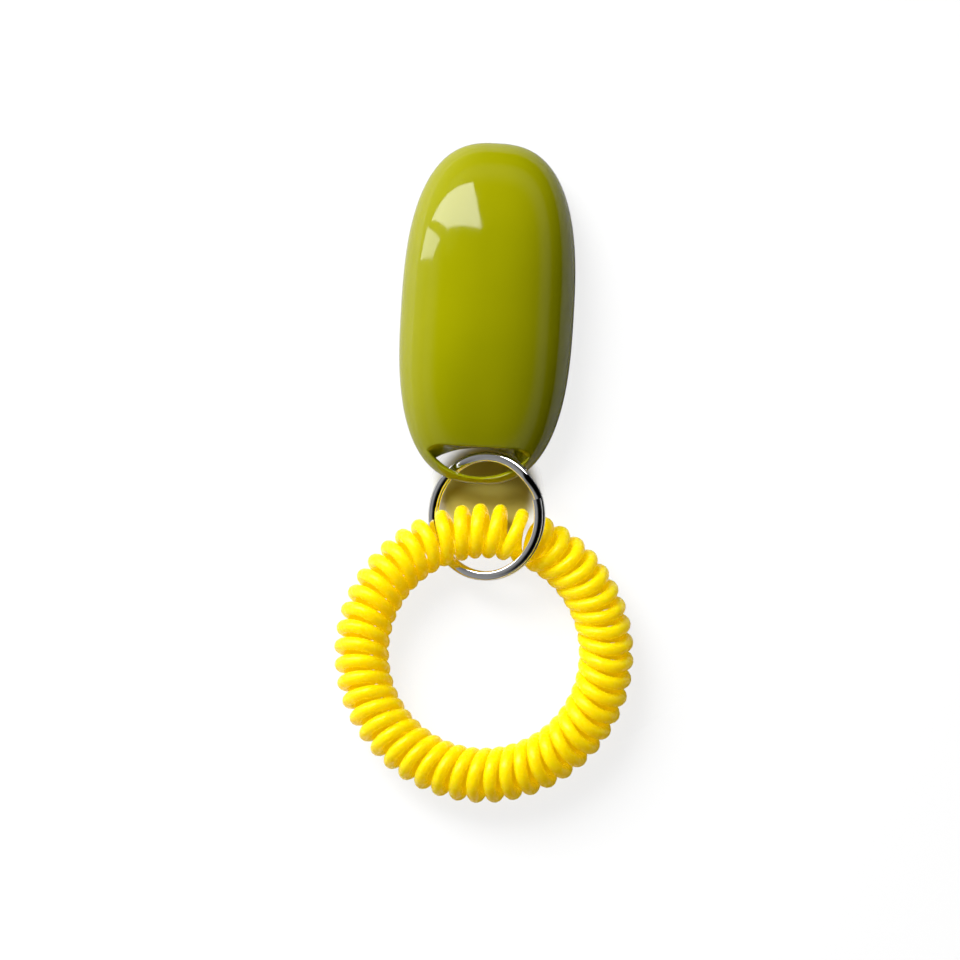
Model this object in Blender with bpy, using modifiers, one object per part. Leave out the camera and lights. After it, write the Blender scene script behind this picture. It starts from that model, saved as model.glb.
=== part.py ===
"""A pet training clicker with its split ring and wrist coil, lying button face down.

Blender 4.5, metres, +Z up. Z = 0 is the surface that it lies on. X runs across the
housing, and Y runs along it, away from the lanyard loop. Lengths are in millimetres
times MM. Pieces of the housing are modelled about the centre of its outline.
"""

import math

import bmesh
import bpy
from mathutils import Matrix, Vector

MM = 0.001
FIT_GAP = 0.3 * MM  # clearance between neighbouring pieces
FAR = 60 * MM  # longer than any cut that has to run right through

# Housing: a superellipse in plan, domed above its parting plane and shallower below it.
HALF_WIDTH = 16.9 * MM
HALF_LENGTH = 33.3 * MM
OUTLINE_POWER = 2.65
PARTING_Z = 5.0 * MM
DOME_HEIGHT = 11.4 * MM
DOME_POWER = 2.15
TAIL_DROP = 0.30  # share of its height that the dome loses at the loop end
LOWER_DEPTH = 6.2 * MM
LOWER_POWER = 3.0
WALL = 1.8 * MM
FLOOR_WALL = 1.6 * MM

# Lanyard slot near the loop end: a lens low down, which opens to a D at the dome.
SLOT_EDGE_Y = -26.2 * MM
SLOT_ARC_RADIUS = 12.3 * MM
SLOT_ARC_CENTRE_Y = -19.6 * MM
LENS_EDGE_Y = -26.4 * MM
LENS_EDGE_RADIUS = 16.0 * MM
LENS_HALF_WIDTH = 8.7 * MM
LENS_TOP_Z = 6.4 * MM
D_HALF_WIDTH = 10.9 * MM
D_DEPTH = 7.0 * MM
D_BASE_Z = 10.2 * MM
CAVITY_END_Y = -24.4 * MM

# Lip of the front cover, which registers in a rebate of the back cover.
LIP_OUTER_INSET = 1.2 * MM
LIP_INNER_INSET = 2.1 * MM
LIP_BASE_Z = 3.2 * MM
LIP_TOP_Z = 6.3 * MM
LIP_END_Y = -23.0 * MM

# Thumb button, guided by a collar inside the front cover.
BUTTON_Y = 5.0 * MM
BUTTON_HALF = (8.8 * MM, 13.8 * MM)
BUTTON_POWER = 2.5
BUTTON_FACE_Z = 0.5 * MM
BUTTON_TRAVEL = 1.5 * MM
FLANGE_REACH = 1.1 * MM
FLANGE_THICKNESS = 1.0 * MM
FLANGE_Z = FLOOR_WALL + FIT_GAP
COLLAR_WALL = 1.0 * MM
COLLAR_TOP_Z = FLANGE_Z + FLANGE_THICKNESS + BUTTON_TRAVEL
DISH_DEPTH = 0.8 * MM
DISH_RADIUS = 60.0 * MM

# Click tongue: a dimpled strip of spring steel, held at its root under a seat.
TONGUE_ROOT_Y = -17.0 * MM
TONGUE_LIFT_Z = 8.05 * MM
TONGUE_HALF_WIDTH = 4.5 * MM
TONGUE_THICKNESS = 0.4 * MM
TONGUE_TAIL = 3.2 * MM
TONGUE_REACH = 29.0 * MM
PUSH_REACH = 25.0 * MM
DIMPLE_RADIUS = 3.4 * MM
DIMPLE_DEPTH = 0.8 * MM
BOSS_RADIUS = 2.2 * MM

# Seat, clamp and screws that hold the tongue's root.
SEAT_GAP = 0.35 * MM
SEAT_HALF = (8.4 * MM, 3.4 * MM)
CLAMP_HALF = (8.0 * MM, 3.1 * MM)
CLAMP_THICKNESS = 1.4 * MM
SCREW_X = 6.1 * MM
SCREW_RADIUS = 0.95 * MM
SCREW_LENGTH = 6.4 * MM
SCREW_HEAD_RADIUS = 1.8 * MM
SCREW_HEAD_HEIGHT = 1.1 * MM
SEAT_Z = TONGUE_LIFT_Z + TONGUE_THICKNESS / 2 + SEAT_GAP
CLAMP_TOP_Z = TONGUE_LIFT_Z - TONGUE_THICKNESS / 2 - SEAT_GAP
SCREW_Z = CLAMP_TOP_Z - CLAMP_THICKNESS - FIT_GAP  # underside of the screws' heads

# Split ring: two turns of flat wire, leaning on the coil's right side.
RING_CENTRE = Vector((2.2 * MM, -39.5 * MM, 6.75 * MM))
RING_LEAN = math.radians(27.4)
RING_OUTER_RADIUS = 12.5 * MM
RING_WIRE_WIDTH = 1.8 * MM
RING_WIRE_HEIGHT = 0.95 * MM
RING_TURN_GAP = 0.1 * MM
RING_STEP_ANGLE = math.radians(35)
RING_STEP_HALF_SPAN = math.radians(13)
RING_END_GAP = math.radians(2.5)
RING_PIVOT = Vector((1.2 * MM, -31.4 * MM, 5.6 * MM))

# Wrist coil: the outer shape of a helix of cord whose ends are joined.
COIL_CENTRE = Vector((3.4 * MM, -66.2 * MM, 5.4 * MM))
COIL_RADIUS = 23.85 * MM
COIL_TUBE_RADIUS = 5.4 * MM

# Where the middle of the housing's outline stands, which centres housing and ring on Y = 0.
HOUSING_PLACE = Vector((0, (RING_OUTER_RADIUS - HALF_LENGTH - RING_CENTRE.y) / 2, 0))

OUTLINE_SEGMENTS = 64
PROFILE_RINGS = 18
ARC_STEPS = 14


def clear_scene():
    for old in list(bpy.data.objects):
        bpy.data.objects.remove(old)


def new_collection(name):
    made = bpy.data.collections.new(name)
    bpy.context.scene.collection.children.link(made)
    return made


def new_material(name, colour, roughness, metallic=0.0):
    made = bpy.data.materials.new(name)
    made.use_nodes = True
    shader = made.node_tree.nodes["Principled BSDF"]
    shader.inputs["Base Color"].default_value = (*colour, 1.0)
    shader.inputs["Roughness"].default_value = roughness
    shader.inputs["Metallic"].default_value = metallic
    return made


def new_object(name, data, collection, parent, place=(0, 0, 0)):
    """Adds an object whose origin is at place, a point in the row's frame."""
    made = bpy.data.objects.new(name, data)
    collection.objects.link(made)
    made.parent = parent
    made.location = Vector(place) - parent.location if parent else Vector(place)
    return made


def new_pivot(name, collection, place):
    return new_object(name, None, collection, None, place)


def finish_mesh(bm, name):
    bmesh.ops.recalc_face_normals(bm, faces=bm.faces)
    mesh = bpy.data.meshes.new(name)
    bm.to_mesh(mesh)
    bm.free()
    return mesh


def smooth(obj, material, sharp_angle=35):
    obj.data.materials.append(material)
    obj.data.shade_smooth()
    obj.data.set_sharp_from_angle(angle=math.radians(sharp_angle))


def as_cutter(obj):
    obj.hide_render = True
    obj.display_type = "WIRE"
    return obj


def combine(obj, other, operation):
    modifier = obj.modifiers.new(other.name, "BOOLEAN")
    modifier.operation = operation
    modifier.object = other
    modifier.solver = "EXACT"


def cut(obj, *others):
    for other in others:
        combine(obj, other, "DIFFERENCE")


def join(obj, *others):
    for other in others:
        combine(obj, other, "UNION")


def slice_away(bm, point, towards):
    """Cuts at a plane, drops the side that towards points to, and closes the cut."""
    everything = bm.verts[:] + bm.edges[:] + bm.faces[:]
    found = bmesh.ops.bisect_plane(
        bm, geom=everything, plane_co=point, plane_no=towards, clear_outer=True
    )
    rim = [item for item in found["geom_cut"] if isinstance(item, bmesh.types.BMEdge)]
    bmesh.ops.holes_fill(bm, edges=rim, sides=0)


def superellipse(angle, half_x, half_y, power):
    """A point of the outline |x/half_x|^power + |y/half_y|^power = 1."""
    across, along = math.cos(angle), math.sin(angle)
    x = math.copysign(abs(across) ** (2 / power), across) * half_x
    y = math.copysign(abs(along) ** (2 / power), along) * half_y
    return x, y


def tail_factor(y):
    """How much of its height the dome keeps at y: less towards the loop end."""
    return 1 - TAIL_DROP * (max(0.0, -y) / HALF_LENGTH) ** 2


def housing_form(inset, floor_inset):
    """The closed pebble of the housing, drawn in by inset, as a bmesh."""
    bm = bmesh.new()
    bmesh.ops.create_uvsphere(bm, u_segments=OUTLINE_SEGMENTS, v_segments=PROFILE_RINGS, radius=1)
    for vert in bm.verts:
        above = vert.co.z > 0
        power = DOME_POWER if above else LOWER_POWER
        height = DOME_HEIGHT - inset if above else LOWER_DEPTH - floor_inset
        spread = math.hypot(vert.co.x, vert.co.y) ** (2 / power)
        lift = abs(vert.co.z) ** (2 / power) * height
        angle = math.atan2(vert.co.y, vert.co.x)
        x, y = superellipse(angle, HALF_WIDTH - inset, HALF_LENGTH - inset, OUTLINE_POWER)
        x, y = x * spread, y * spread
        z = PARTING_Z + lift * tail_factor(y) if above else PARTING_Z - lift
        vert.co = (x, y, z)
    return bm


def oval_prism(half_x, half_y, power, bottom, top, centre_y=0.0):
    """A straight-sided block with a superellipse outline, as a bmesh."""
    bm = bmesh.new()
    bmesh.ops.create_cone(
        bm, cap_ends=True, segments=OUTLINE_SEGMENTS, radius1=1, radius2=1, depth=top - bottom
    )
    for vert in bm.verts:
        angle = math.atan2(vert.co.y, vert.co.x)
        x, y = superellipse(angle, half_x, half_y, power)
        vert.co = (x, y + centre_y, vert.co.z + (top + bottom) / 2)
    return bm


def box(half_x, half_y, bottom, top, centre=(0.0, 0.0)):
    bm = bmesh.new()
    size = Matrix.Diagonal((2 * half_x, 2 * half_y, top - bottom, 1))
    middle = Matrix.Translation((centre[0], centre[1], (top + bottom) / 2))
    bmesh.ops.create_cube(bm, size=1, matrix=middle @ size)
    return bm


def cylinder(radius, bottom, top, centre=(0.0, 0.0), segments=24):
    bm = bmesh.new()
    middle = Matrix.Translation((centre[0], centre[1], (top + bottom) / 2))
    bmesh.ops.create_cone(
        bm, cap_ends=True, segments=segments, radius1=radius, radius2=radius, depth=top - bottom,
        matrix=middle,
    )
    return bm


def arc(centre_y, radius, half_width, side, steps=ARC_STEPS):
    """Points from -half_width to +half_width on a circle about (0, centre_y)."""
    reach = math.asin(half_width / radius)
    turns = [reach * (2 * step / steps - 1) for step in range(steps + 1)]
    return [(radius * math.sin(turn), centre_y + side * radius * math.cos(turn)) for turn in turns]


def straight(half_width, y, steps=ARC_STEPS):
    return [(half_width * (2 * step / steps - 1), y) for step in range(steps + 1)]


def slot_cutter_mesh():
    """A loft from the lens of the through hole to the D that shows in the dome."""
    d_outline = straight(D_HALF_WIDTH, SLOT_EDGE_Y)
    for step in range(1, ARC_STEPS):
        turn = math.pi * step / ARC_STEPS
        x, y = D_HALF_WIDTH * math.cos(turn), SLOT_EDGE_Y - D_DEPTH * math.sin(turn)
        d_outline.append((x, y))
    lens_outline = arc(LENS_EDGE_Y - LENS_EDGE_RADIUS, LENS_EDGE_RADIUS, LENS_HALF_WIDTH, 1)
    lens_outline += arc(SLOT_ARC_CENTRE_Y, SLOT_ARC_RADIUS, LENS_HALF_WIDTH, -1)[-2:0:-1]
    levels = [
        (-FAR, lens_outline), (LENS_TOP_Z, lens_outline), (D_BASE_Z, d_outline), (FAR, d_outline)
    ]
    bm = bmesh.new()
    loops = [[bm.verts.new((x, y, z)) for x, y in outline] for z, outline in levels]
    for low, high in zip(loops, loops[1:]):
        for index in range(len(low)):
            following = (index + 1) % len(low)
            bm.faces.new((low[index], low[following], high[following], high[index]))
    bm.faces.new(loops[0])
    bm.faces.new(loops[-1])
    return finish_mesh(bm, "lanyard_slot")


def cavity_mesh():
    bm = housing_form(WALL, LOWER_DEPTH - PARTING_Z + FLOOR_WALL)
    slice_away(bm, (0, CAVITY_END_Y, 0), (0, -1, 0))
    return finish_mesh(bm, "cavity")


def rim_mesh(name, inset, bottom, top, end_y):
    """A block inside the housing's outline, cut off at the loop end."""
    bm = oval_prism(HALF_WIDTH - inset, HALF_LENGTH - inset, OUTLINE_POWER, bottom, top)
    slice_away(bm, (0, end_y, 0), (0, -1, 0))
    return finish_mesh(bm, name)


def turned(name, profile, collection, parent, place, steps):
    """Turns an outline given as (radius, height) points, listed top to bottom at the outside."""
    closed = profile[0] == profile[-1]
    points = profile[:-1] if closed else profile
    edges = [(index, index + 1) for index in range(len(points) - 1)]
    if closed:
        edges.append((len(points) - 1, 0))
    mesh = bpy.data.meshes.new(name)
    mesh.from_pydata([(radius, 0, z) for radius, z in points], edges, [])
    made = new_object(name, mesh, collection, parent, place)
    turn = made.modifiers.new("turned", "SCREW")
    turn.steps = steps
    turn.render_steps = steps
    turn.use_merge_vertices = True
    turn.merge_threshold = 1e-6
    turn.use_smooth_shade = True
    return made


def make_back_cover(parts, cutters, parent, material):
    bm = housing_form(0, 0)
    slice_away(bm, (0, 0, PARTING_Z + FIT_GAP / 2), (0, 0, -1))
    cover = new_object("back_cover", finish_mesh(bm, "back_cover"), parts, parent, parent.location)
    smooth(cover, material)

    def helper(name, mesh):
        return as_cutter(new_object(name, mesh, cutters, parent, parent.location))

    cavity = helper("back_cavity", cavity_mesh())
    rebate = helper(
        "lip_rebate",
        rim_mesh(
            "lip_rebate", LIP_OUTER_INSET - FIT_GAP, PARTING_Z - FIT_GAP,
            LIP_TOP_Z + FIT_GAP, LIP_END_Y - FIT_GAP,
        ),
    )
    seat = helper(
        "tongue_seat",
        finish_mesh(box(*SEAT_HALF, SEAT_Z, FAR, (0, TONGUE_ROOT_Y)), "tongue_seat"),
    )
    dome_form = housing_form(WALL / 2, LOWER_DEPTH - PARTING_Z)
    combine(seat, helper("dome_form", finish_mesh(dome_form, "dome_form")), "INTERSECT")
    slot = helper("lanyard_slot", slot_cutter_mesh())
    cut(cover, cavity, rebate)
    join(cover, seat)
    cut(cover, slot)
    for side in (-1, 1):
        hole = cylinder(
            SCREW_RADIUS + FIT_GAP, SEAT_Z - FIT_GAP, SCREW_Z + SCREW_LENGTH + FIT_GAP,
            (side * SCREW_X, TONGUE_ROOT_Y),
        )
        cut(cover, helper(f"screw_hole_{side}", finish_mesh(hole, "screw_hole")))
    return cover


def make_front_cover(parts, cutters, parent, material):
    bm = housing_form(0, 0)
    slice_away(bm, (0, 0, PARTING_Z - FIT_GAP / 2), (0, 0, 1))
    slice_away(bm, (0, 0, 0), (0, 0, -1))
    slice_away(bm, (0, SLOT_EDGE_Y, 0), (0, -1, 0))
    cover = new_object("front_cover", finish_mesh(bm, "front_cover"), parts, parent, parent.location)
    smooth(cover, material)

    def helper(name, mesh):
        return as_cutter(new_object(name, mesh, cutters, parent, parent.location))

    flange = [half + FLANGE_REACH + FIT_GAP for half in BUTTON_HALF]
    collar_outer = [half + COLLAR_WALL for half in flange]
    collar = helper(
        "button_collar",
        finish_mesh(
            oval_prism(*collar_outer, BUTTON_POWER, FLOOR_WALL / 2, COLLAR_TOP_Z, BUTTON_Y),
            "button_collar",
        ),
    )
    flange_way = helper(
        "flange_way",
        finish_mesh(oval_prism(*flange, BUTTON_POWER, FLOOR_WALL, FAR, BUTTON_Y), "flange_way"),
    )
    opening_half = [half + FIT_GAP for half in BUTTON_HALF]
    opening = helper(
        "button_opening",
        finish_mesh(
            oval_prism(*opening_half, BUTTON_POWER, -FLOOR_WALL, FAR, BUTTON_Y), "button_opening"
        ),
    )
    lip = helper(
        "cover_lip",
        rim_mesh("cover_lip", LIP_OUTER_INSET, LIP_BASE_Z, LIP_TOP_Z, LIP_END_Y),
    )
    inside_lip = helper(
        "inside_lip", rim_mesh("inside_lip", LIP_INNER_INSET, 0, FAR, LIP_END_Y - WALL)
    )
    cut(lip, inside_lip)
    cut(cover, helper("front_cavity", cavity_mesh()))
    join(cover, collar, lip)
    cut(cover, flange_way, opening)
    return cover


def make_thumb_button(parts, cutters, parent, material):
    bm = oval_prism(*BUTTON_HALF, BUTTON_POWER, BUTTON_FACE_Z, FLANGE_Z + FLANGE_THICKNESS / 2)
    place = parent.location + Vector((0, BUTTON_Y, 0))
    button = new_object("thumb_button", finish_mesh(bm, "thumb_button"), parts, parent, place)
    smooth(button, material)
    flange_half = [half + FLANGE_REACH for half in BUTTON_HALF]
    flange = oval_prism(*flange_half, BUTTON_POWER, FLANGE_Z, FLANGE_Z + FLANGE_THICKNESS)
    boss_top = TONGUE_LIFT_Z - TONGUE_THICKNESS / 2 - DIMPLE_DEPTH - FIT_GAP
    boss_y = TONGUE_ROOT_Y + PUSH_REACH - BUTTON_Y
    boss = cylinder(BOSS_RADIUS, FLANGE_Z + FLANGE_THICKNESS / 2, boss_top, (0, boss_y))
    dish = bmesh.new()
    dish_centre = Matrix.Translation((0, 0, BUTTON_FACE_Z + DISH_DEPTH - DISH_RADIUS))
    bmesh.ops.create_uvsphere(
        dish, u_segments=48, v_segments=120, radius=DISH_RADIUS, matrix=dish_centre
    )
    slice_away(dish, (0, 0, -DISH_DEPTH), (0, 0, -1))
    pieces = {"button_flange": flange, "button_boss": boss, "button_dish": dish}
    helpers = {
        name: as_cutter(new_object(name, finish_mesh(shape, name), cutters, parent, place))
        for name, shape in pieces.items()
    }
    join(button, helpers["button_flange"], helpers["button_boss"])
    cut(button, helpers["button_dish"])
    return button


def make_click_tongue(parts, parent, material):
    """A flat strip with a round dimple where the button pushes, origin at its root."""
    columns, rows = 6, 20
    length = TONGUE_TAIL + TONGUE_REACH
    bm = bmesh.new()
    bmesh.ops.create_grid(bm, x_segments=columns, y_segments=rows, size=1)
    for vert in bm.verts:
        x = vert.co.x * TONGUE_HALF_WIDTH
        y = (vert.co.y + 1) / 2 * length - TONGUE_TAIL
        away = math.hypot(x, y - PUSH_REACH) / DIMPLE_RADIUS
        sink = DIMPLE_DEPTH * math.cos(min(away, 1) * math.pi / 2) ** 2
        vert.co = (x, y, -sink)
    place = parent.location + Vector((0, TONGUE_ROOT_Y, TONGUE_LIFT_Z))
    tongue = new_object("click_tongue", finish_mesh(bm, "click_tongue"), parts, parent, place)
    smooth(tongue, material)
    skin = tongue.modifiers.new("steel_thickness", "SOLIDIFY")
    skin.thickness = TONGUE_THICKNESS
    skin.offset = 0
    return tongue


def make_tongue_clamp(parts, cutters, parent, material):
    bm = box(*CLAMP_HALF, CLAMP_TOP_Z - CLAMP_THICKNESS, CLAMP_TOP_Z)
    place = parent.location + Vector((0, TONGUE_ROOT_Y, 0))
    clamp = new_object("tongue_clamp", finish_mesh(bm, "tongue_clamp"), parts, parent, place)
    smooth(clamp, material)
    for side in (-1, 1):
        hole = cylinder(SCREW_RADIUS + FIT_GAP, 0, FAR, (side * SCREW_X, 0))
        helper = new_object(
            f"clamp_hole_{side}", finish_mesh(hole, "clamp_hole"), cutters, parent, place
        )
        cut(clamp, as_cutter(helper))
    return clamp


def make_clamp_screw(name, side, parts, parent, material):
    """A pan-head screw pointing up, turned about its own axis."""
    profile = [
        (0, SCREW_LENGTH),
        (SCREW_RADIUS * 0.5, SCREW_LENGTH),
        (SCREW_RADIUS, SCREW_LENGTH - SCREW_RADIUS),
        (SCREW_RADIUS, 0),
        (SCREW_HEAD_RADIUS, 0),
        (SCREW_HEAD_RADIUS, -0.6 * SCREW_HEAD_HEIGHT),
        (SCREW_HEAD_RADIUS * 0.7, -SCREW_HEAD_HEIGHT),
        (0, -SCREW_HEAD_HEIGHT),
    ]
    place = parent.location + Vector((side * SCREW_X, TONGUE_ROOT_Y, SCREW_Z))
    screw = turned(name, profile, parts, parent, place, steps=16)
    screw.data.materials.append(material)
    return screw


def ring_wire_profile(cutters):
    """The flat wire's section: wide across the ring, with its corners taken off."""
    corner = 0.22 * MM
    half_x, half_y = RING_WIRE_WIDTH / 2, RING_WIRE_HEIGHT / 2
    points = []
    for sign_x, sign_y in ((1, 1), (1, -1), (-1, -1), (-1, 1)):
        near = (sign_x * (half_x - corner), sign_y * half_y)
        side = (sign_x * half_x, sign_y * (half_y - corner))
        points += [near, side] if sign_x * sign_y > 0 else [side, near]
    curve = bpy.data.curves.new("ring_wire_profile", "CURVE")
    spline = curve.splines.new("POLY")
    spline.points.add(len(points) - 1)
    for point, (x, y) in zip(spline.points, points):
        point.co = (x, y, 0, 1)
    spline.use_cyclic_u = True
    return as_cutter(new_object("ring_wire_profile", curve, cutters, None))


def ring_path_points():
    """Two turns one above the other, with a ramp between them at the step."""
    start = RING_STEP_ANGLE + RING_STEP_HALF_SPAN + RING_END_GAP
    finish = RING_STEP_ANGLE - RING_STEP_HALF_SPAN - RING_END_GAP + 4 * math.pi
    ramp_middle = RING_STEP_ANGLE + 2 * math.pi
    radius = RING_OUTER_RADIUS - RING_WIRE_WIDTH / 2
    rise = (RING_WIRE_HEIGHT + RING_TURN_GAP) / 2
    steps = 100
    points = []
    for step in range(steps + 1):
        angle = start + (finish - start) * step / steps
        across = (angle - ramp_middle) / RING_STEP_HALF_SPAN
        across = max(-1.0, min(1.0, across))
        height = rise * math.sin(across * math.pi / 2)
        points.append((radius * math.cos(angle), radius * math.sin(angle), height))
    return points


def make_split_ring(parts, cutters, parent, material):
    curve = bpy.data.curves.new("split_ring", "CURVE")
    curve.dimensions = "3D"
    curve.twist_mode = "Z_UP"
    spline = curve.splines.new("POLY")
    points = ring_path_points()
    spline.points.add(len(points) - 1)
    for point, place in zip(spline.points, points):
        point.co = (*place, 1)
    curve.bevel_mode = "OBJECT"
    curve.bevel_object = ring_wire_profile(cutters)
    curve.use_fill_caps = True
    ring = new_object("split_ring", curve, parts, parent, HOUSING_PLACE + RING_CENTRE)
    ring.rotation_euler = (0, -RING_LEAN, 0)
    ring.data.materials.append(material)
    return ring


def make_ring_way(cutters, parent):
    """The space that the split ring needs as it turns about its own centre."""
    inner = RING_OUTER_RADIUS - RING_WIRE_WIDTH - FIT_GAP
    outer = RING_OUTER_RADIUS + FIT_GAP
    half = RING_WIRE_HEIGHT + RING_TURN_GAP / 2 + FIT_GAP
    profile = [(outer, half), (outer, -half), (inner, -half), (inner, half), (outer, half)]
    way = turned("ring_way", profile, cutters, parent, HOUSING_PLACE + RING_CENTRE, steps=72)
    way.rotation_euler = (0, -RING_LEAN, 0)
    return as_cutter(way)


def make_wrist_coil(parts, cutters, parent, material):
    bpy.ops.mesh.primitive_torus_add(
        major_segments=64, minor_segments=16, major_radius=COIL_RADIUS, minor_radius=COIL_TUBE_RADIUS
    )
    mesh = bpy.context.object.data
    bpy.data.objects.remove(bpy.context.object)
    coil = new_object("wrist_coil", mesh, parts, parent, HOUSING_PLACE + COIL_CENTRE)
    smooth(coil, material)
    cut(coil, make_ring_way(cutters, parent))
    return coil


def main():
    clear_scene()
    parts = new_collection("training_clicker")
    cutters = new_collection("cutters")
    shell = new_material("housing_plastic", (0.42, 0.43, 0.01), 0.18)
    button = new_material("button_plastic", (0.42, 0.43, 0.01), 0.35)
    inner = new_material("inner_plastic", (0.62, 0.62, 0.6), 0.5)
    spring = new_material("spring_steel", (0.55, 0.56, 0.58), 0.3, 1.0)
    steel = new_material("ring_steel", (0.72, 0.72, 0.73), 0.15, 1.0)
    cord = new_material("coil_cord", (0.85, 0.72, 0.01), 0.25)

    housing = new_pivot("housing_centre", parts, HOUSING_PLACE)
    ring_pivot = new_pivot("ring_pivot", parts, HOUSING_PLACE + RING_PIVOT)
    coil_pivot = new_pivot("coil_pivot", parts, HOUSING_PLACE + RING_CENTRE)

    make_back_cover(parts, cutters, housing, shell)
    make_front_cover(parts, cutters, housing, shell)
    make_thumb_button(parts, cutters, housing, button)
    make_click_tongue(parts, housing, spring)
    make_tongue_clamp(parts, cutters, housing, inner)
    make_clamp_screw("clamp_screw_left", -1, parts, housing, steel)
    make_clamp_screw("clamp_screw_right", 1, parts, housing, steel)
    make_split_ring(parts, cutters, ring_pivot, steel)
    make_wrist_coil(parts, cutters, coil_pivot, cord)


main()
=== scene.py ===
"""Looks for a pet training clicker that lies button face down, with ring and wrist coil.

Blender 4.5, metres, +Z up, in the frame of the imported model. Lengths are in millimetres
times MM. The housing is modelled about the middle of its outline and then put in place.
"""

import math

import bmesh
import bpy
import numpy as np
from mathutils import Matrix, Vector


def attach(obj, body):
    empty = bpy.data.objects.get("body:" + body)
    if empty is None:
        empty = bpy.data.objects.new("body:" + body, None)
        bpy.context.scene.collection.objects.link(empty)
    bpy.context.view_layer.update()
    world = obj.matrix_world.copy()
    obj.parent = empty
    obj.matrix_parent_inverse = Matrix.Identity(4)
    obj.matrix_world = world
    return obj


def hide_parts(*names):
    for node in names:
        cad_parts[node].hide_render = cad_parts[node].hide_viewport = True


MM = 0.001

# Housing, as in the frame: a superellipse in plan, domed above its parting plane.
HALF_WIDTH = 16.9 * MM
HALF_LENGTH = 33.3 * MM
OUTLINE_POWER = 2.65
PARTING_Z = 5.0 * MM
PARTING_GAP = 0.3 * MM
DOME_HEIGHT = 11.4 * MM
DOME_POWER = 2.15
TAIL_DROP = 0.30  # share of its height that the dome loses at the loop end
LOWER_DEPTH = 6.2 * MM
LOWER_POWER = 3.0
WALL = 1.8 * MM
FLOOR_WALL = 1.6 * MM
CAVITY_END_Y = -24.4 * MM
HOUSING_PLACE = Vector((0, 9.35 * MM, 0))

# Lanyard slot: a lens low down, which opens to a D at the dome.
SLOT_EDGE_Y = -26.2 * MM
D_HALF_WIDTH = 10.9 * MM
D_DEPTH = 7.0 * MM
D_BASE_Z = 10.2 * MM
LENS_EDGE_Y = -26.4 * MM
LENS_EDGE_RADIUS = 16.0 * MM
LENS_ARC_RADIUS = 12.3 * MM
LENS_ARC_CENTRE_Y = -19.6 * MM
LENS_HALF_WIDTH = 8.7 * MM
LENS_TOP_Z = 6.4 * MM

# Lip of the front cover and its rebate in the back cover.
LIP_OUTER_INSET = 1.2 * MM
LIP_INNER_INSET = 2.1 * MM
LIP_BASE_Z = 3.2 * MM
LIP_TOP_Z = 6.3 * MM
LIP_END_Y = -23.0 * MM

# Seat of the click tongue, inside the dome.
SEAT_HALF = (8.4 * MM, 3.4 * MM)
SEAT_Y = -17.0 * MM
SEAT_Z = 8.6 * MM

# Thumb button and its opening.
BUTTON_Y = 5.0 * MM
BUTTON_HALF = (8.8 * MM, 13.8 * MM)
BUTTON_POWER = 2.5
BUTTON_FACE_Z = 0.5 * MM
BUTTON_FIT = 0.3 * MM
FLANGE_REACH = 1.1 * MM
FLANGE_BASE_Z = 1.9 * MM
FLANGE_TOP_Z = 2.9 * MM
COLLAR_WALL = 1.0 * MM
COLLAR_TOP_Z = 4.4 * MM
DISH_DEPTH = 0.8 * MM
DISH_RADIUS = 60.0 * MM
BOSS_RADIUS = 2.2 * MM
BOSS_Y = 8.0 * MM
BOSS_TOP_Z = 6.75 * MM

# Split ring, in its own plane, leaning so that its +X side is high.
RING_CENTRE = Vector((2.2 * MM, -30.15 * MM, 6.75 * MM))
RING_LEAN = math.radians(27.4)
RING_OUTER_RADIUS = 12.5 * MM
RING_WIRE_HALF = (0.9 * MM, 0.475 * MM)
RING_WIRE_POWER = 2.7
RING_TURN_RISE = 0.525 * MM
RING_STEP_ANGLE = math.radians(35)
RING_STEP_HALF_SPAN = math.radians(13)
RING_END_GAP = math.radians(2.5)

# Wrist coil: a helix of cord wound round a circle.
COIL_CENTRE = Vector((3.4 * MM, -56.85 * MM, 5.4 * MM))
COIL_RADIUS = 23.85 * MM
CORD_RADIUS = 1.3 * MM
HELIX_RADIUS = 4.1 * MM
COIL_TURNS = 47
COIL_JOIN_ANGLE = 93.0  # degrees about the coil's centre, where the cord's ends meet
POINTS_PER_TURN = 30

# Turns of the cord against degrees about the coil's centre, for the low and the high side of
# the tube. Where the steps between them are wider, the split ring passes between two turns.
LAST_ANGLE = COIL_JOIN_ANGLE + 360
LOW_KNOTS = [(0, COIL_JOIN_ANGLE), (2, 108.0), (3, 122.4), (COIL_TURNS, LAST_ANGLE)]
HIGH_KNOTS = [(0, COIL_JOIN_ANGLE), (44.5, 425.6), (45.5, 439.6), (COIL_TURNS, LAST_ANGLE)]
KNOT_EASING = 0.3  # turns either side of a knot

# Mesh fineness.
OUTLINE_SEGMENTS = 168
PROFILE_RINGS = 84
INNER_SEGMENTS = (96, 48)
SLOT_STEPS = 44
RING_STEPS = 440
WIRE_STEPS = 20

# How far Boolean cutters reach past what they cut.
FAR = 30 * MM
PAST = 1 * MM

# Camera: straight above VIEW_CENTRE and turned about the vertical.
VIEW_CENTRE = (0.58 * MM, -23.18 * MM, 5 * MM)
VIEW_WIDTH = 187.5 * MM
VIEW_TURN = math.radians(3.5)
LENS = 100
SENSOR = 36

# Stage, with a painted shadow on the floor inside the split ring, warm with the colours that the
# shell and the coil throw on it.
FLOOR_HALF_SIDE = 4.0
FLOOR_DROP = 0.05 * MM
BACKDROP_RADIUS = 3.8
PAINTED_SHADOW_CENTRE = (2.0 * MM, -25.5 * MM, 0)
PAINTED_SHADOW_RADIUS = 7.5 * MM
PAINTED_SHADOW_FADE_RADIUS = 12.5 * MM


def add_object(name, data):
    made = bpy.data.objects.new(name, data)
    bpy.context.scene.collection.objects.link(made)
    return made


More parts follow.
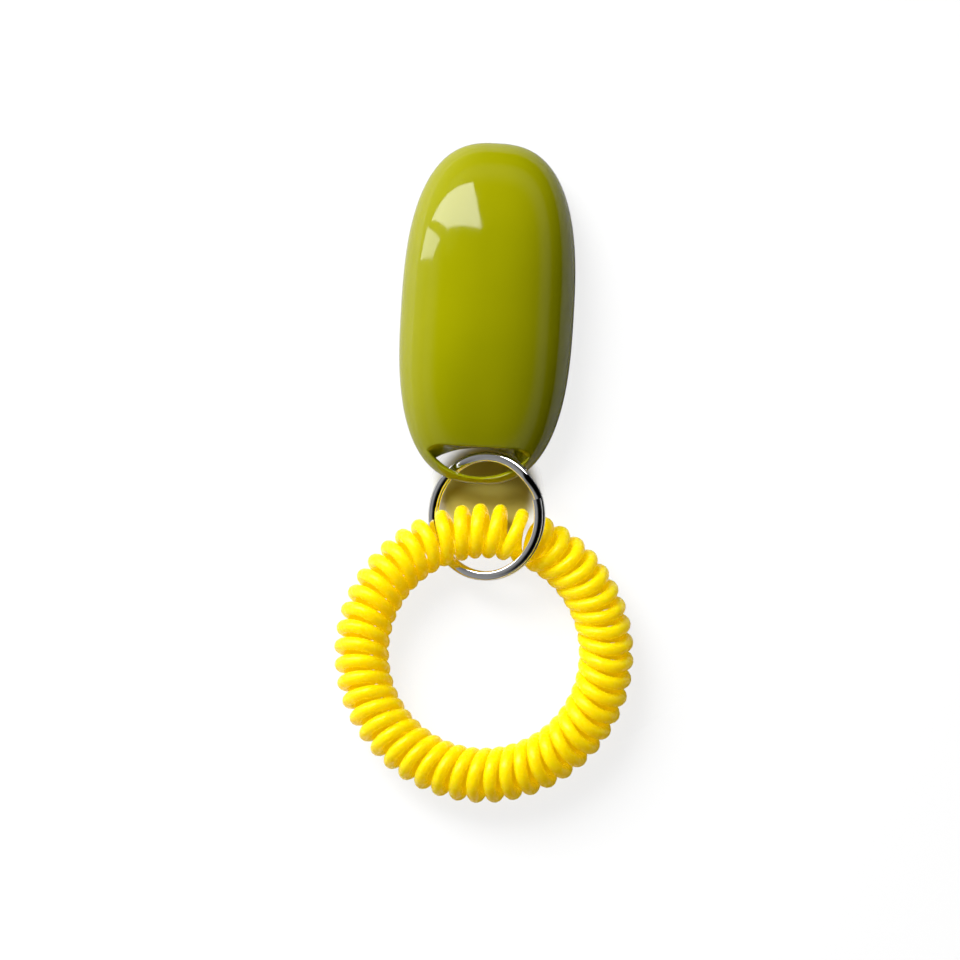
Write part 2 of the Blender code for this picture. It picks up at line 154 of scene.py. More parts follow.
def mesh_from(bm, name):
    bmesh.ops.recalc_face_normals(bm, faces=bm.faces)
    mesh = bpy.data.meshes.new(name)
    bm.to_mesh(mesh)
    bm.free()
    return mesh


def settled(obj, helpers=()):
    """Replaces the object's data by its evaluated mesh, and removes the helpers."""
    bpy.context.view_layer.update()
    graph = bpy.context.evaluated_depsgraph_get()
    mesh = bpy.data.meshes.new_from_object(obj.evaluated_get(graph), depsgraph=graph)
    if obj.type == "MESH":
        obj.modifiers.clear()
        obj.data = mesh
        made = obj
    else:
        made = add_object(obj.name + "_mesh", mesh)
        made.matrix_world = obj.matrix_world
        name = obj.name
        bpy.data.objects.remove(obj)
        made.name = name
    for helper in helpers:
        bpy.data.objects.remove(helper)
    return made


def combine(obj, bm, operation):
    """Adds an exact Boolean with a helper made from bm, and returns the helper."""
    helper = add_object("helper", mesh_from(bm, "helper"))
    modifier = obj.modifiers.new("combined", "BOOLEAN")
    modifier.operation = operation
    modifier.object = helper
    modifier.solver = "EXACT"
    return helper


def shade(obj, sharp_angle=32):
    obj.data.shade_smooth()
    obj.data.set_sharp_from_angle(angle=math.radians(sharp_angle))


def superellipse(angle, half_x, half_y, power):
    across, along = math.cos(angle), math.sin(angle)
    x = math.copysign(abs(across) ** (2 / power), across) * half_x
    y = math.copysign(abs(along) ** (2 / power), along) * half_y
    return x, y


def tail_factor(y):
    return 1 - TAIL_DROP * (max(0.0, -y) / HALF_LENGTH) ** 2


def dome_z(x, y):
    """Height of the dome's outer surface over a point of the plan."""
    reach = (abs(x) / HALF_WIDTH) ** OUTLINE_POWER + (abs(y) / HALF_LENGTH) ** OUTLINE_POWER
    reach = min(1.0, reach ** (1 / OUTLINE_POWER))
    return PARTING_Z + DOME_HEIGHT * (1 - reach**DOME_POWER) ** (1 / DOME_POWER) * tail_factor(y)


def housing_form(inset, floor_inset, segments=OUTLINE_SEGMENTS, rings=PROFILE_RINGS):
    """The closed pebble of the housing, drawn in by inset."""
    bm = bmesh.new()
    bmesh.ops.create_uvsphere(bm, u_segments=segments, v_segments=rings, radius=1)
    for vert in bm.verts:
        above = vert.co.z > 0
        power = DOME_POWER if above else LOWER_POWER
        height = DOME_HEIGHT - inset if above else LOWER_DEPTH - floor_inset
        spread = math.hypot(vert.co.x, vert.co.y) ** (2 / power)
        lift = abs(vert.co.z) ** (2 / power) * height
        angle = math.atan2(vert.co.y, vert.co.x)
        x, y = superellipse(angle, HALF_WIDTH - inset, HALF_LENGTH - inset, OUTLINE_POWER)
        x, y = x * spread, y * spread
        z = PARTING_Z + lift * tail_factor(y) if above else PARTING_Z - lift
        vert.co = (x, y, z)
    return bm


def cavity_form():
    bm = housing_form(WALL, LOWER_DEPTH - PARTING_Z + FLOOR_WALL, *INNER_SEGMENTS)
    slice_away(bm, (0, CAVITY_END_Y, 0), (0, -1, 0))
    return bm


def slice_away(bm, point, towards):
    """Cuts at a plane, drops the side that towards points to, and closes the cut."""
    everything = bm.verts[:] + bm.edges[:] + bm.faces[:]
    found = bmesh.ops.bisect_plane(
        bm, geom=everything, plane_co=point, plane_no=towards, clear_outer=True
    )
    rim = [item for item in found["geom_cut"] if isinstance(item, bmesh.types.BMEdge)]
    bmesh.ops.holes_fill(bm, edges=rim, sides=0)


def loft(loops):
    """A closed skin through loops that have as many points as each other."""
    bm = bmesh.new()
    rows = [[bm.verts.new(point) for point in loop] for loop in loops]
    for low, high in zip(rows, rows[1:]):
        for index in range(len(low)):
            following = (index + 1) % len(low)
            bm.faces.new((low[index], low[following], high[following], high[index]))
    bm.faces.new(rows[0])
    bm.faces.new(rows[-1])
    return bm


def oval_loop(half_x, half_y, power, z, centre_y=0.0, segments=OUTLINE_SEGMENTS):
    turns = [2 * math.pi * step / segments for step in range(segments)]
    plan = [superellipse(turn, half_x, half_y, power) for turn in turns]
    return [(x, y + centre_y, z) for x, y in plan]


def oval_loft(half, power, levels, centre_y=0.0):
    """A loft of ovals from (grown by, z) levels."""
    loops = [
        oval_loop(half[0] + grow, half[1] + grow, power, z, centre_y) for grow, z in levels
    ]
    return loft(loops)


def outline_block(inset, bottom, top, end_y):
    """A block inside the housing's outline, cut off at the loop end."""
    half = (HALF_WIDTH - inset, HALF_LENGTH - inset)
    bm = oval_loft(half, OUTLINE_POWER, [(0, bottom), (0, top)])
    slice_away(bm, (0, end_y, 0), (0, -1, 0))
    return bm


def slot_outlines():
    """The slot's two outlines, the lens and the D, as matching lists of plan points."""
    shares = [2 * step / SLOT_STEPS - 1 for step in range(SLOT_STEPS + 1)]
    d_outline = [(D_HALF_WIDTH * share, SLOT_EDGE_Y) for share in shares]
    for step in range(1, SLOT_STEPS):
        turn = math.pi * step / SLOT_STEPS
        d_outline.append(
            (D_HALF_WIDTH * math.cos(turn), SLOT_EDGE_Y - D_DEPTH * math.sin(turn))
        )
    reach = math.asin(LENS_HALF_WIDTH / LENS_EDGE_RADIUS)
    lens = [
        (
            LENS_EDGE_RADIUS * math.sin(reach * share),
            LENS_EDGE_Y - LENS_EDGE_RADIUS * (1 - math.cos(reach * share)),
        )
        for share in shares
    ]
    reach = math.asin(LENS_HALF_WIDTH / LENS_ARC_RADIUS)
    for share in shares[-2:0:-1]:
        lens.append(
            (
                LENS_ARC_RADIUS * math.sin(reach * share),
                LENS_ARC_CENTRE_Y - LENS_ARC_RADIUS * math.cos(reach * share),
            )
        )
    return lens, d_outline


def slot_wall_point(lens_point, d_point, z):
    """Where the slot's wall is at a height, between the lens and the D."""
    share = min(1.0, max(0.0, (z - LENS_TOP_Z) / (D_BASE_Z - LENS_TOP_Z)))
    return (
        lens_point[0] + (d_point[0] - lens_point[0]) * share,
        lens_point[1] + (d_point[1] - lens_point[1]) * share,
    )


def slot_rim_height(lens_point, d_point):
    """Height at which the slot's wall comes out of the dome."""
    low, high = PARTING_Z, 20 * MM
    for _ in range(40):
        middle = (low + high) / 2
        above = dome_z(*slot_wall_point(lens_point, d_point, middle)) > middle
        low, high = (middle, high) if above else (low, middle)
    return low


def outward(points, index):
    """The plan normal of an outline that runs clockwise."""
    before, after = points[index - 1], points[(index + 1) % len(points)]
    run = Vector((after[0] - before[0], after[1] - before[1]))
    return Vector((-run.y, run.x)).normalized()


def slot_cutter():
    """The lanyard slot with rounded rims where it meets the dome and the parting plane."""
    lens, d_outline = slot_outlines()
    pairs = list(zip(lens, d_outline))
    rims = [slot_rim_height(*pair) for pair in pairs]
    edge = [slot_wall_point(*pair, rim) for pair, rim in zip(pairs, rims)]
    underside = PARTING_Z + PARTING_GAP / 2
    loops = []
    for grow, z in ((0.8, underside - PAST), (0.25, underside), (0.07, underside + 0.1 * MM)):
        loop = []
        for index, (x, y) in enumerate(lens):
            away = outward(lens, index) * grow * MM
            loop.append((x + away.x, y + away.y, z))
        loops.append(loop)
    wall_base = underside + 0.3 * MM
    for share in (0, 0.15, 0.3, 0.45, 0.6, 0.75, 0.9, 1):
        loop = []
        for pair, rim in zip(pairs, rims):
            z = wall_base + (rim - 0.3 * MM - wall_base) * share
            loop.append((*slot_wall_point(*pair, z), z))
        loops.append(loop)
    for grow, lift in ((0.03, -0.16), (0.1, -0.06), (0.22, 0.0), (0.5, 0.3)):
        loop = []
        for index, (x, y) in enumerate(edge):
            away = outward(edge, index) * grow * MM
            x, y = x + away.x, y + away.y
            loop.append((x, y, dome_z(x, y) + lift * MM))
        loops.append(loop)
    loops.append([(x, y, FAR) for x, y, _ in loops[-1]])
    return loft(loops)


def box_form(half_x, half_y, bottom, top, centre_y):
    bm = bmesh.new()
    size = Matrix.Diagonal((2 * half_x, 2 * half_y, top - bottom, 1))
    middle = Matrix.Translation((0, centre_y, (top + bottom) / 2))
    bmesh.ops.create_cube(bm, size=1, matrix=middle @ size)
    return bm


def make_dome():
    """The domed back cover with its lanyard loop."""
    bm = housing_form(0, 0)
    slice_away(bm, (0, 0, PARTING_Z + PARTING_GAP / 2), (0, 0, -1))
    dome = add_object("dome_shell", mesh_from(bm, "dome_shell"))
    helpers = [combine(dome, cavity_form(), "DIFFERENCE")]
    rebate = outline_block(
        LIP_OUTER_INSET - BUTTON_FIT, PARTING_Z - PAST, LIP_TOP_Z + BUTTON_FIT,
        LIP_END_Y - BUTTON_FIT,
    )
    helpers.append(combine(dome, rebate, "DIFFERENCE"))
    seat = settled_seat()
    modifier = dome.modifiers.new("seat", "BOOLEAN")
    modifier.operation = "UNION"
    modifier.object = seat
    modifier.solver = "EXACT"
    helpers.append(seat)
    helpers.append(combine(dome, slot_cutter(), "DIFFERENCE"))
    dome = settled(dome, helpers)
    shade(dome)
    return dome


def settled_seat():
    """The block under the dome that the click tongue's root is clamped to."""
    seat = add_object(
        "seat", mesh_from(box_form(*SEAT_HALF, SEAT_Z, FAR, SEAT_Y), "seat")
    )
    inner = housing_form(WALL / 2, LOWER_DEPTH - PARTING_Z, *INNER_SEGMENTS)
    trim = combine(seat, inner, "INTERSECT")
    return settled(seat, [trim])


def make_base():
    """The shallow front cover, with the button's opening and collar."""
    bm = housing_form(0, 0)
    slice_away(bm, (0, 0, PARTING_Z - PARTING_GAP / 2), (0, 0, 1))
    slice_away(bm, (0, 0, 0), (0, 0, -1))
    slice_away(bm, (0, SLOT_EDGE_Y, 0), (0, -1, 0))
    base = add_object("base_shell", mesh_from(bm, "base_shell"))
    flange = [half + FLANGE_REACH + BUTTON_FIT for half in BUTTON_HALF]
    collar_half = [half + COLLAR_WALL for half in flange]
    collar = oval_loft(
        collar_half, BUTTON_POWER, [(0, FLOOR_WALL / 2), (0, COLLAR_TOP_Z)], BUTTON_Y
    )
    way = oval_loft(flange, BUTTON_POWER, [(0, FLOOR_WALL), (0, FAR)], BUTTON_Y)
    opening_levels = [
        (1.2 * MM, -0.8 * MM), (0.42 * MM, -0.02 * MM), (0.14 * MM, 0.08 * MM),
        (0.03 * MM, 0.22 * MM), (0, 0.42 * MM), (0, FAR),
    ]
    opening_half = [half + BUTTON_FIT for half in BUTTON_HALF]
    opening = oval_loft(opening_half, BUTTON_POWER, opening_levels, BUTTON_Y)
    lip = add_object(
        "lip", mesh_from(outline_block(LIP_OUTER_INSET, LIP_BASE_Z, LIP_TOP_Z, LIP_END_Y), "lip")
    )
    inside = combine(
        lip, outline_block(LIP_INNER_INSET, 0, FAR, LIP_END_Y - WALL), "DIFFERENCE"
    )
    lip = settled(lip, [inside])
    helpers = [combine(base, cavity_form(), "DIFFERENCE")]
    helpers.append(combine(base, collar, "UNION"))
    modifier = base.modifiers.new("lip", "BOOLEAN")
    modifier.operation = "UNION"
    modifier.object = lip
    modifier.solver = "EXACT"
    helpers.append(lip)
    helpers.append(combine(base, way, "DIFFERENCE"))
    helpers.append(combine(base, opening, "DIFFERENCE"))
    base = settled(base, helpers)
    shade(base)
    return base


def button_face_z(x, y):
    """The dished face: hollow in the middle and flat towards its ends."""
    hollow = DISH_DEPTH - (x * x + y * y) / (2 * DISH_RADIUS)
    return BUTTON_FACE_Z + max(0.0, hollow)


def make_button():
    """The thumb button: a dished oval with a rounded rim, a flange and a boss."""
    loops = []
    for share in (0.06, 0.15, 0.25, 0.35, 0.45, 0.55, 0.64, 0.72, 0.8, 0.86, 0.91, 0.945):
        loop = oval_loop(BUTTON_HALF[0] * share, BUTTON_HALF[1] * share, BUTTON_POWER, 0)
        loops.append([(x, y, button_face_z(x, y)) for x, y, _ in loop])
    for draw_in, lift in ((0.32, 0.02), (0.16, 0.08), (0.05, 0.2), (0, 0.38)):
        half = [side - draw_in * MM for side in BUTTON_HALF]
        loop = oval_loop(*half, BUTTON_POWER, 0)
        loops.append([(x, y, button_face_z(x, y) + lift * MM) for x, y, _ in loop])
    loops.append(oval_loop(*BUTTON_HALF, BUTTON_POWER, FLANGE_BASE_Z))
    flange = [half + FLANGE_REACH for half in BUTTON_HALF]
    loops.append(oval_loop(*flange, BUTTON_POWER, FLANGE_BASE_Z))
    loops.append(oval_loop(*flange, BUTTON_POWER, FLANGE_TOP_Z))
    button = add_object("button_cap", mesh_from(loft(loops), "button_cap"))
    boss = bmesh.new()
    place = Matrix.Translation((0, BOSS_Y - BUTTON_Y, (BOSS_TOP_Z + FLANGE_BASE_Z + MM) / 2))
    bmesh.ops.create_cone(
        boss, cap_ends=True, segments=48, radius1=BOSS_RADIUS, radius2=BOSS_RADIUS,
        depth=BOSS_TOP_Z - FLANGE_BASE_Z - 0.5 * MM, matrix=place,
    )
    button = settled(button, [combine(button, boss, "UNION")])
    button.location = (0, BUTTON_Y, 0)
    shade(button)
    return button


def wire_profile():
    """The flat wire's section, with well rounded edges."""
    curve = bpy.data.curves.new("wire_profile", "CURVE")
    spline = curve.splines.new("POLY")
    spline.points.add(WIRE_STEPS - 1)
    for step, point in enumerate(spline.points):
        turn = -2 * math.pi * step / WIRE_STEPS
        x, y = superellipse(turn, *RING_WIRE_HALF, RING_WIRE_POWER)
        point.co = (x, y, 0, 1)
    spline.use_cyclic_u = True
    return add_object("wire_profile", curve)


def make_ring():
    """Two turns of flat wire, with the ramp that takes one over the other."""
    curve = bpy.data.curves.new("key_ring", "CURVE")
    curve.dimensions = "3D"
    curve.twist_mode = "Z_UP"
    start = RING_STEP_ANGLE + RING_STEP_HALF_SPAN + RING_END_GAP
    finish = RING_STEP_ANGLE - RING_STEP_HALF_SPAN - RING_END_GAP + 4 * math.pi
    radius = RING_OUTER_RADIUS - RING_WIRE_HALF[0]
    spline = curve.splines.new("POLY")
    spline.points.add(RING_STEPS)
    for step, point in enumerate(spline.points):
        angle = start + (finish - start) * step / RING_STEPS
        across = (angle - RING_STEP_ANGLE - 2 * math.pi) / RING_STEP_HALF_SPAN
        across = max(-1.0, min(1.0, across))
        height = RING_TURN_RISE * math.sin(across * math.pi / 2)
        point.co = (radius * math.cos(angle), radius * math.sin(angle), height, 1)
    profile = wire_profile()
    curve.bevel_mode = "OBJECT"
    curve.bevel_object = profile
    curve.use_fill_caps = True
    ring = settled(add_object("key_ring", curve), [profile])
    ring.location = RING_CENTRE
    ring.rotation_euler = (0, -RING_LEAN, 0)
    shade(ring, 50)
    return ring


def cord_angles(turns, knots):
    """Angle about the coil's centre for each number of turns, eased between the knots."""
    shifts = np.linspace(-KNOT_EASING, KNOT_EASING, 13)
    at, angle = zip(*knots)
    pitch_low = (angle[1] - angle[0]) / (at[1] - at[0])
    pitch_high = (angle[-1] - angle[-2]) / (at[-1] - at[-2])
    at = (at[0] - 1,) + at + (at[-1] + 1,)
    angle = (angle[0] - pitch_low,) + angle + (angle[-1] + pitch_high,)
    samples = [np.interp(turns + shift, at, angle) for shift in shifts]
    return np.mean(samples, axis=0)


def cord_path():
    """Points of the cord: a helix whose turns part where the split ring goes between them."""
    turns = np.linspace(0, COIL_TURNS, COIL_TURNS * POINTS_PER_TURN + 1)
    tube_angle = 2 * math.pi * turns - math.pi / 2
    high_share = 0.5 + 0.5 * np.sin(tube_angle)
    angle = cord_angles(turns, LOW_KNOTS) * (1 - high_share)
    angle += cord_angles(turns, HIGH_KNOTS) * high_share
    angle = np.radians(angle)
    reach = COIL_RADIUS + HELIX_RADIUS * np.cos(tube_angle)
    points = np.stack(
        [reach * np.cos(angle), reach * np.sin(angle), HELIX_RADIUS * np.sin(tube_angle)], axis=1
    )
    return points + np.array(COIL_CENTRE)


def make_coil():
    points = cord_path()
    curve = bpy.data.curves.new("wrist_cord", "CURVE")
    curve.dimensions = "3D"
    spline = curve.splines.new("POLY")
    spline.points.add(len(points) - 1)
    for point, place in zip(spline.points, points):
        point.co = (*place, 1)
    curve.bevel_depth = CORD_RADIUS
    curve.bevel_resolution = 5
    curve.use_fill_caps = True
    length = float(np.linalg.norm(np.diff(points, axis=0), axis=1).sum())
    return add_object("wrist_cord", curve), points, length


def new_material(name, colour, roughness, metallic=0.0):
    """A Principled material, and its node tree and shader."""
    material = bpy.data.materials.new(name)
    material.use_nodes = True
    tree = material.node_tree
    shader = tree.nodes["Principled BSDF"]
    shader.inputs["Base Color"].default_value = (*colour, 1)
    shader.inputs["Roughness"].default_value = roughness
    shader.inputs["Metallic"].default_value = metallic
    return material, tree, shader


def add_noise(tree, scale, detail=3.0, stretch=(1, 1, 1)):
    """Noise over the object's own coordinates, scale in features per metre."""
    place = tree.nodes.new("ShaderNodeTexCoord")
    spread = tree.nodes.new("ShaderNodeMapping")
    spread.inputs["Scale"].default_value = stretch
    noise = tree.nodes.new("ShaderNodeTexNoise")
    noise.inputs["Scale"].default_value = scale
    noise.inputs["Detail"].default_value = detail
    tree.links.new(place.outputs["Object"], spread.inputs["Vector"])
    tree.links.new(spread.outputs["Vector"], noise.inputs["Vector"])
    return noise.outputs["Fac"]


def add_range(tree, value, low, high, start=0.3, end=0.7):
    """Maps a value from start..end to low..high."""
    ramp = tree.nodes.new("ShaderNodeMapRange")
    ramp.inputs["From Min"].default_value = start
    ramp.inputs["From Max"].default_value = end
    ramp.inputs["To Min"].default_value = low
    ramp.inputs["To Max"].default_value = high
    tree.links.new(value, ramp.inputs["Value"])
    return ramp.outputs["Result"]


def add_two_tone(tree, shader, value, first, second):
    mix = tree.nodes.new("ShaderNodeMix")
    mix.data_type = "RGBA"
    mix.inputs["A"].default_value = (*first, 1)
    mix.inputs["B"].default_value = (*second, 1)
    tree.links.new(value, mix.inputs["Factor"])
    tree.links.new(mix.outputs["Result"], shader.inputs["Base Color"])


def add_bump(tree, shader, value, distance, strength=1.0):
    bump = tree.nodes.new("ShaderNodeBump")
    bump.inputs["Distance"].default_value = distance
    bump.inputs["Strength"].default_value = strength
    tree.links.new(value, bump.inputs["Height"])
    tree.links.new(bump.outputs["Normal"], shader.inputs["Normal"])


def housing_plastic():
    """Glossy moulded plastic: deep yellow-green, faintly mottled, with fine rub marks."""
    first, second = (0.268, 0.272, 0.0006), (0.29, 0.288, 0.0009)
    material, tree, shader = new_material("housing_plastic", first, 0.07)
    cloud = add_noise(tree, 60, 2.0)
    add_two_tone(tree, shader, add_range(tree, cloud, 0, 1), first, second)
    rub = add_noise(tree, 900, 4.0, (1, 0.15, 1))
    tree.links.new(add_range(tree, rub, 0.05, 0.1, 0.4, 0.75), shader.inputs["Roughness"])
    add_bump(tree, shader, add_noise(tree, 110, 1.0), 0.00004, 0.6)
    shader.inputs["IOR"].default_value = 1.52
    return material


def button_plastic():
    """The same plastic with a fine spark-eroded texture."""
    first, second = (0.268, 0.272, 0.0008), (0.283, 0.281, 0.001)
    material, tree, shader = new_material("button_plastic", first, 0.3)
    cloud = add_noise(tree, 80, 2.0)
    add_two_tone(tree, shader, add_range(tree, cloud, 0, 1), first, second)
    grain = add_noise(tree, 4200, 2.0)
    tree.links.new(add_range(tree, grain, 0.24, 0.4), shader.inputs["Roughness"])
    add_bump(tree, shader, grain, 0.00003, 0.7)
    return material


def inner_plastic():
    material, tree, shader = new_material("inner_plastic", (0.6, 0.6, 0.57), 0.5)
    cloud = add_noise(tree, 500, 3.0)
    tree.links.new(add_range(tree, cloud, 0.42, 0.6), shader.inputs["Roughness"])
    add_bump(tree, shader, add_noise(tree, 3000, 2.0), 0.00002, 0.5)
    return material


def brushed_steel():
    """Strip steel: bright, with grain along its length."""
    material, tree, shader = new_material("spring_steel", (0.58, 0.59, 0.61), 0.3, 1.0)
    grain = add_noise(tree, 5000, 3.0, (1, 0.02, 1))
    tree.links.new(add_range(tree, grain, 0.2, 0.42), shader.inputs["Roughness"])
    add_bump(tree, shader, grain, 0.00001, 0.5)
    return material


def polished_steel(name, colour, low, high):
    """Nickel-plated steel with fine handling marks."""
    material, tree, shader = new_material(name, colour, low, 1.0)
    marks = add_noise(tree, 1400, 5.0)
    tree.links.new(add_range(tree, marks, low, high, 0.35, 0.7), shader.inputs["Roughness"])
    add_bump(tree, shader, add_noise(tree, 700, 2.0), 0.00002, 0.35)
    return material


def coil_cord_plastic():
    """Soft, clear-tinted cord that light goes far into. A weak glow stands in for the light
    that comes round inside it from turn to turn."""
    first, second = (0.76, 0.54, 0.001), (0.80, 0.60, 0.003)
    material, tree, shader = new_material("coil_cord", first, 0.14)
    cloud = add_noise(tree, 220, 2.0)
    add_two_tone(tree, shader, add_range(tree, cloud, 0, 1), first, second)
    smear = add_noise(tree, 1200, 3.0)
    tree.links.new(add_range(tree, smear, 0.2, 0.32), shader.inputs["Roughness"])
    shader.inputs["IOR"].default_value = 1.4
    shader.inputs["Subsurface Weight"].default_value = 1.0
    shader.inputs["Subsurface Radius"].default_value = (1.0, 0.75, 0.05)
    shader.inputs["Subsurface Scale"].default_value = 0.008
    shader.inputs["Emission Color"].default_value = (1.0, 0.72, 0.0, 1)
    shader.inputs["Emission Strength"].default_value = 0.2
    return material


def finish_piece(piece, material, body, slot, *nodes):
    """Gives a new piece its material and its body, and hides the nodes it stands for. Its slot
    is not used.
    """
    piece.data.materials.clear()
    piece.data.materials.append(material)
    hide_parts(*nodes)
    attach(piece, body)


def repaint(node, material):
    """A CAD node that keeps its shape gets a better material."""
    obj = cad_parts[node]
    for slot in obj.material_slots:
        slot.link = "OBJECT"
        slot.material = material


def make_camera():
    """Straight above the middle of the picture, turned a little about the vertical."""
    data = bpy.data.cameras.new("camera")
    data.sensor_width = SENSOR
    data.lens = LENS
    data.clip_start = 0.01
    camera = bpy.data.objects.new("camera", data)
    bpy.context.scene.collection.objects.link(camera)
    x, y, z = VIEW_CENTRE
    camera.location = (x, y, z + VIEW_WIDTH * LENS / SENSOR)
    camera.rotation_euler = (0, 0, VIEW_TURN)
    bpy.context.scene.camera = camera


def make_light(name, place, turn, size, radiance):
    """A rectangular softbox. Its turn is in degrees, and it shines along its own -Z."""
    data = bpy.data.lights.new(name, "AREA")
    data.shape = "RECTANGLE"
    data.size, data.size_y = size
    data.energy = radiance * math.pi * size[0] * size[1]
    light = bpy.data.objects.new(name, data)
    bpy.context.scene.collection.objects.link(light)
    light.location = place
    light.rotation_euler = [math.radians(angle) for angle in turn]
    return light


def make_soft_light(name, place, target, side, radiance):
    """A square softbox that lights the object but doesn't show in its gloss."""
    light = make_light(name, place, (0, 0, 0), (side, side), radiance)
    away = Vector(place) - Vector(target)
    light.rotation_euler = away.to_track_quat("Z", "Y").to_euler()
    light.visible_glossy = False


def make_lights():
    """A tall window and its side pane, up and to the left, and soft light round them."""
    make_light("window", (-0.271, 0.241, 0.354), (100.9, 0, 175.4), (0.452, 0.408), 7.0)
    make_light("side_pane", (-0.444, 0.136, 0.196), (-101.9, -9.6, 18.6), (0.134, 0.278), 5.0)
    make_soft_light("soft_key", (-0.36, 0.40, 0.46), (0, -0.02, 0), 0.42, 9.5)
    make_soft_light("soft_left", (-0.62, 0.0, 0.16), (0, -0.02, 0.01), 0.3, 0.7)


def add_map(tree, value, low, high, start, end):
    """Eases a value from start..end to low..high."""
    ramp = tree.nodes.new("ShaderNodeMapRange")
    ramp.interpolation_type = "SMOOTHSTEP"
    ramp.inputs["From Min"].default_value = start
    ramp.inputs["From Max"].default_value = end
    ramp.inputs["To Min"].default_value = low
    ramp.inputs["To Max"].default_value = high
    tree.links.new(value, ramp.inputs["Value"])
    return ramp.outputs["Result"]


def make_world():
    """A dark room with a bright wall on the left and a grey band all round, part way up."""
    world = bpy.data.worlds.new("studio")
    world.use_nodes = True
    tree = world.node_tree
    background = tree.nodes["Background"]
    place = tree.nodes.new("ShaderNodeTexCoord")
    parts = tree.nodes.new("ShaderNodeSeparateXYZ")
    tree.links.new(place.outputs["Generated"], parts.inputs["Vector"])
    low = add_map(tree, parts.outputs["Z"], 1.0, 0.0, 0.0, 0.7)
    left = add_map(tree, parts.outputs["X"], 0.5, 0.0, -1.0, 0.1)
    wall = tree.nodes.new("ShaderNodeMath")
    wall.operation = "MULTIPLY"
    tree.links.new(low, wall.inputs[0])
    tree.links.new(left, wall.inputs[1])
    above = add_map(tree, parts.outputs["Z"], 0.0, 0.24, 0.34, 0.5)
    below = add_map(tree, parts.outputs["Z"], 1.0, 0.0, 0.56, 0.74)
    total = tree.nodes.new("ShaderNodeMath")
    total.operation = "MULTIPLY_ADD"
    tree.links.new(above, total.inputs[0])
    tree.links.new(below, total.inputs[1])
    tree.links.new(wall.outputs["Value"], total.inputs[2])
    tree.links.new(total.outputs["Value"], background.inputs["Strength"])
    background.inputs["Color"].default_value = (1, 1, 1, 1)
    bpy.context.scene.world = world


def add_plane(name, material, z):
    bm = bmesh.new()
    bmesh.ops.create_grid(bm, x_segments=1, y_segments=1, size=FLOOR_HALF_SIDE)
    plane = add_object(name, mesh_from(bm, name))
    plane.data.materials.append(material)
    plane.location = (0, 0, z)
    return plane


def keep_to_camera(obj):
    """The camera sees the object, but it neither lights, shades nor shows in another."""
    obj.visible_diffuse = False
    obj.visible_glossy = False
    obj.visible_transmission = False
    obj.visible_shadow = False


def frosted_floor():
    """Pale and partly clear, so that a ring that hangs below it stays in view. Inside the
    ring it is solid and carries a painted shadow, warm with the colours that the shell and the
    coil throw on it."""
    material, tree, shader = new_material("floor_frosted", (0.93, 0.93, 0.93), 0.6)
    place = tree.nodes.new("ShaderNodeTexCoord")
    gap = tree.nodes.new("ShaderNodeVectorMath")
    gap.operation = "DISTANCE"
    gap.inputs[1].default_value = PAINTED_SHADOW_CENTRE
    tree.links.new(place.outputs["Object"], gap.inputs[0])
    # Painted shadow: a dark olive patch under the loop end, inside the split ring, that fades
    # out to the pale floor. Inside it the floor's glow and its clearness fade out too.
    outside = add_map(tree, gap.outputs["Value"], 0.0, 1.0, PAINTED_SHADOW_RADIUS, PAINTED_SHADOW_FADE_RADIUS)
    add_two_tone(tree, shader, outside, (0.45, 0.40, 0.09), (0.93, 0.93, 0.93))
    glow = add_map(tree, outside, 0.0, 0.25, 0.0, 1.0)
    tree.links.new(glow, shader.inputs["Emission Strength"])
    shader.inputs["Emission Color"].default_value = (1, 1, 1, 1)
    tree.links.new(add_map(tree, outside, 1.0, 0.24, 0.0, 1.0), shader.inputs["Alpha"])
    return material


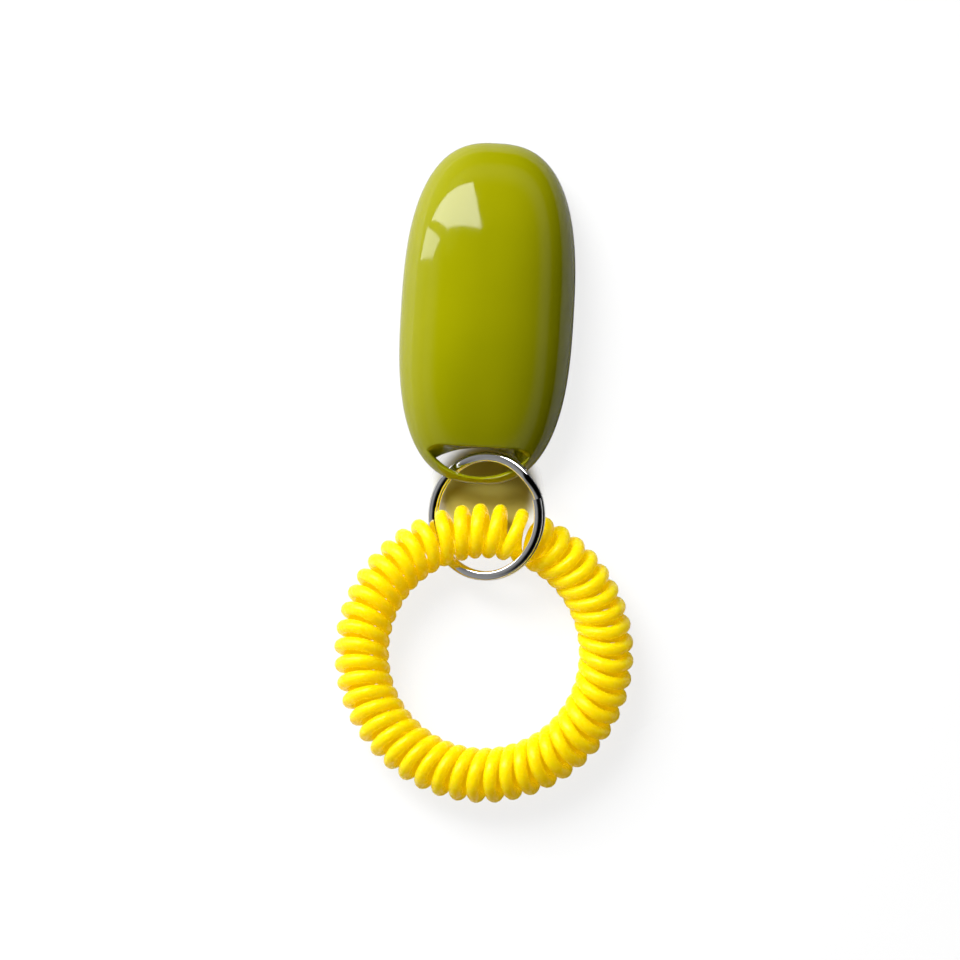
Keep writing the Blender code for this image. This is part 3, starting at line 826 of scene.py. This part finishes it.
def make_floor():
    """One floor that the camera sees and one that throws light back at the object."""
    keep_to_camera(add_plane("floor_seen", frosted_floor(), -FLOOR_DROP))
    thrower, _, _ = new_material("floor_white", (0.62, 0.62, 0.62), 0.6)
    bounce = add_plane("floor_bounce", thrower, -2 * FLOOR_DROP)
    bounce.visible_camera = False
    bounce.visible_shadow = False


def make_backdrop():
    """A white dome behind everything that the camera sees."""
    bm = bmesh.new()
    bmesh.ops.create_uvsphere(bm, u_segments=48, v_segments=24, radius=BACKDROP_RADIUS)
    backdrop = add_object("backdrop", mesh_from(bm, "backdrop"))
    material, _, shader = new_material("backdrop_white", (0, 0, 0), 1.0)
    shader.inputs["Emission Color"].default_value = (1, 1, 1, 1)
    shader.inputs["Emission Strength"].default_value = 1.0
    backdrop.data.materials.append(material)
    keep_to_camera(backdrop)


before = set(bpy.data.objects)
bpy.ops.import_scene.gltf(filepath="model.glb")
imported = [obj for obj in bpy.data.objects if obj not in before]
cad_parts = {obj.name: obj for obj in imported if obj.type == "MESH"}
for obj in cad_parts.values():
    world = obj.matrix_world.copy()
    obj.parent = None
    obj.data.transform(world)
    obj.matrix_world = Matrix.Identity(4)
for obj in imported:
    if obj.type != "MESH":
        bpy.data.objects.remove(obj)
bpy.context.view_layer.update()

make_camera()
coil, coil_points, coil_length = make_coil()
finish_piece(coil, coil_cord_plastic(), "coil", "coil_cord", "wrist_coil")

dome = make_dome()
base = make_base()
for shell in (dome, base):
    shell.location = HOUSING_PLACE
button = make_button()
button.location = Vector(button.location) + HOUSING_PLACE
ring = make_ring()

shell_material = housing_plastic()
finish_piece(dome, shell_material, "housing", "housing_shell", "back_cover")
finish_piece(base, shell_material, "housing", "housing_shell", "front_cover")
finish_piece(button, button_plastic(), "button", "thumb_button", "thumb_button")
ring_material = polished_steel("ring_steel", (0.8, 0.8, 0.81), 0.04, 0.12)
finish_piece(ring, ring_material, "ring", "ring_steel", "split_ring")

repaint("click_tongue", brushed_steel())
repaint("tongue_clamp", inner_plastic())
screw_material = polished_steel("screw_steel", (0.62, 0.62, 0.63), 0.18, 0.32)
for screw in ("clamp_screw_left", "clamp_screw_right"):
    repaint(screw, screw_material)

make_floor()
make_backdrop()
make_lights()
make_world()
bpy.context.scene.view_settings.view_transform = "Standard"
